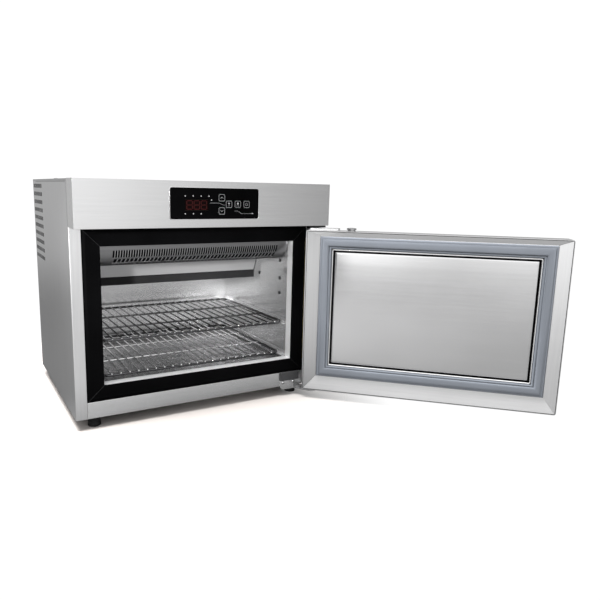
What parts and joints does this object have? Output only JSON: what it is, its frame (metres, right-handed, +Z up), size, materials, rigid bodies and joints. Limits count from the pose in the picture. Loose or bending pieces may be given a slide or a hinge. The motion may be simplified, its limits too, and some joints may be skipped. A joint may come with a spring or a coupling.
{
  "type": "food dehydrator",
  "caption": "Countertop dehydrator cabinet in brushed steel with an insulated side-hinged door standing open, wire shelves, a ceiling air duct and a digital control fascia.",
  "frame": {"origin": "on the table plane that the feet stand on, under the middle of the cabinet's width and of its depth behind the fascia", "axes": "+X to the right seen from the front, towards the hinge side; +Y to the back; +Z up. Millimetres in the source. The door is stored open at 136 degrees"},
  "size_m": [0.8473, 0.764, 0.4512],
  "materials": {
    "steel_sheet": "satin brushed stainless sheet",
    "door_steel": "satin brushed stainless sheet",
    "polished_steel": "bright polished stainless",
    "duct_steel": "satin stainless",
    "dark_metal": "dark grey coated steel",
    "hinge_steel": "bright plated steel",
    "shelf_wire": "bright chrome wire",
    "breaker_black": "satin black extrusion",
    "panel_gloss": "glossy black overlay",
    "display_glass": "dark red tinted window",
    "board_green": "green laminate",
    "seal_grey": "matt blue-grey seal",
    "foam": "rigid foam",
    "black_plastic": "moulded black plastic",
    "foot_rubber": "matt black rubber"
  },
  "bodies": {
    "cabinet": {"left_side_panel": "steel_sheet", "right_side_panel": "steel_sheet", "top_panel": "steel_sheet", "rear_panel": "steel_sheet", "base_pan": "steel_sheet", "front_sill": "steel_sheet", "fascia_shell": "steel_sheet", "cavity_throat": "polished_steel", "liner_left_wall": "polished_steel", "liner_right_wall": "polished_steel", "liner_rear_wall": "polished_steel", "liner_floor": "polished_steel", "liner_ceiling": "polished_steel", "upper_rail_left": "polished_steel", "upper_rail_right": "polished_steel", "lower_rail_left": "polished_steel", "lower_rail_right": "polished_steel", "grille_cover": "duct_steel", "baffle_plate": "duct_steel", "temperature_probe": "duct_steel", "baffle_lip": "dark_metal", "fan_motor": "dark_metal", "heater_element": "dark_metal", "top_hinge_bracket": "dark_metal", "hinge_spacer_block": "dark_metal", "bottom_hinge_bracket": "hinge_steel", "hinge_screw_left": "hinge_steel", "hinge_screw_right": "hinge_steel", "breaker_strip_left": "breaker_black", "breaker_strip_right": "breaker_black", "breaker_strip_top": "breaker_black", "breaker_strip_bottom": "breaker_black", "control_overlay": "panel_gloss", "display_window": "display_glass", "control_board": "board_green", "insulation_left": "foam", "insulation_right": "foam", "insulation_wrap": "foam", "mains_inlet": "black_plastic", "foot_front_left": "foot_rubber", "foot_front_right": "foot_rubber", "foot_rear_left": "foot_rubber", "foot_rear_right": "foot_rubber"},
    "door": {"door_outer_skin": "door_steel", "door_inner_frame": "door_steel", "door_core": "foam", "door_inner_panel": "polished_steel", "door_gasket": "seal_grey", "door_top_leaf": "hinge_steel", "door_stud": "dark_metal", "door_bottom_bush": "black_plastic"},
    "upper_shelf": {"upper_shelf": "shelf_wire"},
    "lower_shelf": {"lower_shelf": "shelf_wire"},
    "fan_rotor": {"fan_rotor": "black_plastic"},
    "key_raise": {"key_raise": "panel_gloss"},
    "key_lower": {"key_lower": "panel_gloss"},
    "key_mode": {"key_mode": "panel_gloss"},
    "key_timer": {"key_timer": "panel_gloss"},
    "key_power": {"key_power": "panel_gloss"}
  },
  "joints": [
    {"name": "door_hinge", "type": "hinge", "parent": "cabinet", "child": "door", "pos_m": [0.2345, -0.2195, 0.189], "axis": [0, 0, 1], "range_deg": [-136, 44]},
    {"name": "upper_shelf_slide", "type": "slide", "parent": "cabinet", "child": "upper_shelf", "axis": [0, -1, 0], "range_m": [0, 0.345]},
    {"name": "lower_shelf_slide", "type": "slide", "parent": "cabinet", "child": "lower_shelf", "axis": [0, -1, 0], "range_m": [0, 0.345]},
    {"name": "fan_spin", "type": "hinge", "parent": "cabinet", "child": "fan_rotor", "pos_m": [0, 0.021, 0.297], "axis": [0, 1, 0], "continuous": true},
    {"name": "key_raise_press", "type": "slide", "parent": "cabinet", "child": "key_raise", "axis": [0, 1, 0], "range_m": [0, 0.0008], "stiffness_N_per_m": 800},
    {"name": "key_lower_press", "type": "slide", "parent": "cabinet", "child": "key_lower", "axis": [0, 1, 0], "range_m": [0, 0.0008], "stiffness_N_per_m": 800},
    {"name": "key_mode_press", "type": "slide", "parent": "cabinet", "child": "key_mode", "axis": [0, 1, 0], "range_m": [0, 0.0008], "stiffness_N_per_m": 800},
    {"name": "key_timer_press", "type": "slide", "parent": "cabinet", "child": "key_timer", "axis": [0, 1, 0], "range_m": [0, 0.0008], "stiffness_N_per_m": 800},
    {"name": "key_power_press", "type": "slide", "parent": "cabinet", "child": "key_power", "axis": [0, 1, 0], "range_m": [0, 0.0008], "stiffness_N_per_m": 800}
  ]
}
